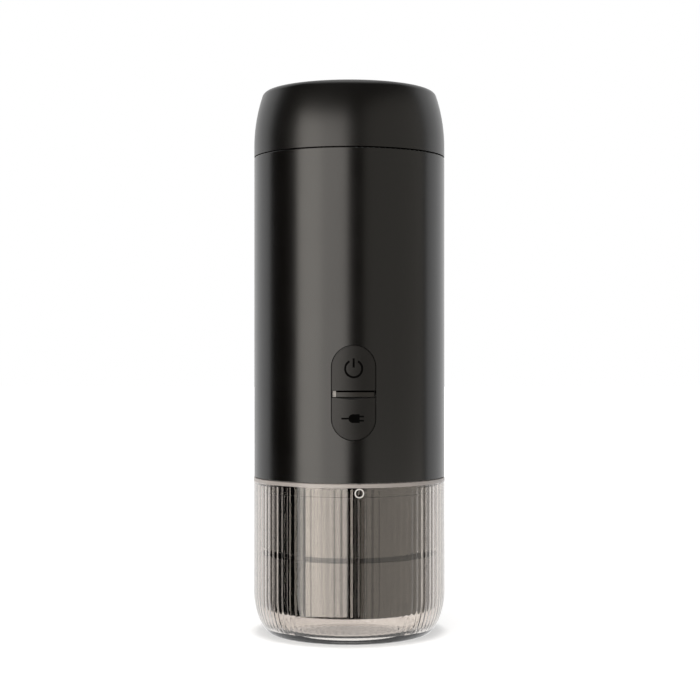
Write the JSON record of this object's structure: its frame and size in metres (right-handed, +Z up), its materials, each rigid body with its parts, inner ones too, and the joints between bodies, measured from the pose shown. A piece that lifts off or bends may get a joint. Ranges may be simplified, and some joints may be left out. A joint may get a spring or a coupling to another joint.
{
  "type": "portable espresso maker",
  "caption": "Slim portable electric espresso maker: a water tank under a screw lid, a battery-driven pump in a round body with a front control panel, and a brew chamber in a clear screw-on cup.",
  "frame": {"origin": "centre of the cup's foot ring, on the surface that the object stands on", "axes": "+Z up along the body's axis, -Y out of the control panel, +X to the right as seen from the panel side"},
  "size_m": [0.0724, 0.0724, 0.2036],
  "materials": {
    "housing_black": "satin black, fine even grain",
    "lid_black": "satin black, fine even grain",
    "panel_black": "satin black",
    "window_black": "smoked and glossy",
    "brew_black": "glossy black",
    "cup_clear": "clear, faintly smoked",
    "liner_grey": "satin dark grey",
    "frame_grey": "plain grey",
    "pump_white": "plain off-white",
    "seal_rubber": "translucent grey silicone",
    "hose_rubber": "milky silicone",
    "steel": "satin stainless",
    "screw_steel": "zinc",
    "brass": "turned",
    "board_green": "coated board",
    "chip_black": "moulded",
    "cell_wrap": "shrink-wrapped metal cells",
    "nickel": "nickel strip",
    "heater_tan": "amber film",
    "wire_red": "soft insulation"
  },
  "bodies": {
    "housing": {"neck_ring": "liner_grey", "neck_gasket": "seal_rubber", "tank_seal": "seal_rubber", "housing_shell": "housing_black", "tact_switch": "chip_black", "light_window": "window_black", "panel_tray": "frame_grey", "usb_socket": "steel", "main_board": "board_green", "board_parts": "chip_black", "water_tank": "steel", "tank_outlet": "steel", "tank_strainer": "steel", "tank_heater": "heater_tan", "heater_sensor": "steel", "thermal_fuse": "chip_black", "tank_pad": "seal_rubber", "frame_top": "frame_grey", "frame_base": "frame_grey", "frame_screws": "screw_steel", "battery_cells": "cell_wrap", "cell_holders": "frame_grey", "cell_tabs": "nickel", "motor_can": "steel", "motor_endcap": "frame_grey", "pump_body": "pump_white", "plunger_seal": "seal_rubber", "gear_bracket": "frame_grey", "axle_bush": "brass", "motor_screws": "screw_steel", "base_screws": "screw_steel", "feed_hose": "hose_rubber", "outlet_hose": "hose_rubber", "wires": "wire_red", "brew_head": "brew_black", "head_elbow": "pump_white", "head_screws": "screw_steel", "shower_screen": "steel", "screen_screw": "screw_steel"},
    "lid_seal": {"lid_seal": "seal_rubber"},
    "lid": {"lid_shell": "lid_black", "lid_liner": "liner_grey", "lid_vent": "seal_rubber"},
    "button": {"power_button": "panel_black", "switch_stem": "pump_white"},
    "cover": {"usb_cover": "panel_black"},
    "rotor": {"motor_rotor": "steel", "pinion": "brass"},
    "crank": {"crank_gear": "pump_white", "crank_axle": "steel", "crank_pin": "steel"},
    "rod": {"connecting_rod": "pump_white", "wrist_pin": "steel"},
    "plunger": {"plunger": "pump_white"},
    "cup_seal": {"cup_seal": "seal_rubber"},
    "cup": {"cup": "cup_clear"},
    "brew_gasket": {"brew_gasket": "seal_rubber"},
    "chamber": {"brew_chamber": "brew_black", "outlet_plate": "brew_black"},
    "basket": {"filter_basket": "steel"}
  },
  "joints": [
    {"name": "lid_lift", "type": "slide", "parent": "housing", "child": "lid_seal", "axis": [0, 0, 1], "range_m": [0, 0.036]},
    {"name": "lid_turn", "type": "hinge", "parent": "lid_seal", "child": "lid", "pos_m": [0, 0, 0.185], "axis": [0, 0, 1], "range_deg": [0, 1440.01]},
    {"name": "power_press", "type": "slide", "parent": "housing", "child": "button", "axis": [0, 1, 0], "range_m": [0, 0.0006], "stiffness_N_per_m": 600},
    {"name": "cover_swing", "type": "hinge", "parent": "housing", "child": "cover", "pos_m": [0, -0.03495, 0.0883], "axis": [-1, 0, 0], "range_deg": [0, 110]},
    {"name": "motor_spin", "type": "hinge", "parent": "housing", "child": "rotor", "pos_m": [0, -0.009, 0.10995], "axis": [1, 0, 0], "continuous": true},
    {"name": "crank_turn", "type": "hinge", "parent": "housing", "child": "crank", "pos_m": [0, -0.009, 0.09735], "axis": [1, 0, 0], "continuous": true},
    {"name": "rod_swing", "type": "hinge", "parent": "crank", "child": "rod", "pos_m": [0, -0.009, 0.09535], "axis": [1, 0, 0], "continuous": true},
    {"name": "plunger_stroke", "type": "slide", "parent": "housing", "child": "plunger", "axis": [0, 0, 1], "range_m": [0, 0.004]},
    {"name": "cup_turn", "type": "hinge", "parent": "housing", "child": "cup_seal", "pos_m": [0, 0, 0.05], "axis": [0, 0, -1], "range_deg": [0, 2640.01]},
    {"name": "cup_pull", "type": "slide", "parent": "cup_seal", "child": "cup", "axis": [0, 0, -1], "range_m": [0, 0.11]},
    {"name": "chamber_turn", "type": "hinge", "parent": "housing", "child": "brew_gasket", "pos_m": [0, 0, 0.04], "axis": [0, 0, -1], "range_deg": [0, 1650.01]},
    {"name": "chamber_drop", "type": "slide", "parent": "brew_gasket", "child": "chamber", "axis": [0, 0, -1], "range_m": [0, 0.0551]},
    {"name": "basket_lift", "type": "slide", "parent": "chamber", "child": "basket", "axis": [0, 0, 1], "range_m": [0, 0.0276]}
  ],
  "couplings": [
    {"joint": "lid_turn", "follows": "lid_lift", "rad_per_m": 698.13},
    {"joint": "crank_turn", "follows": "motor_spin", "ratio": -0.4},
    {"joint": "rod_swing", "follows": "motor_spin", "ratio": 0.4},
    {"joint": "cup_turn", "follows": "cup_pull", "rad_per_m": 418.88},
    {"joint": "chamber_turn", "follows": "cup_pull", "rad_per_m": 261.8},
    {"joint": "chamber_drop", "follows": "cup_pull", "ratio": 0.5},
    {"joint": "basket_lift", "follows": "cup_pull", "ratio": 0.25}
  ]
}
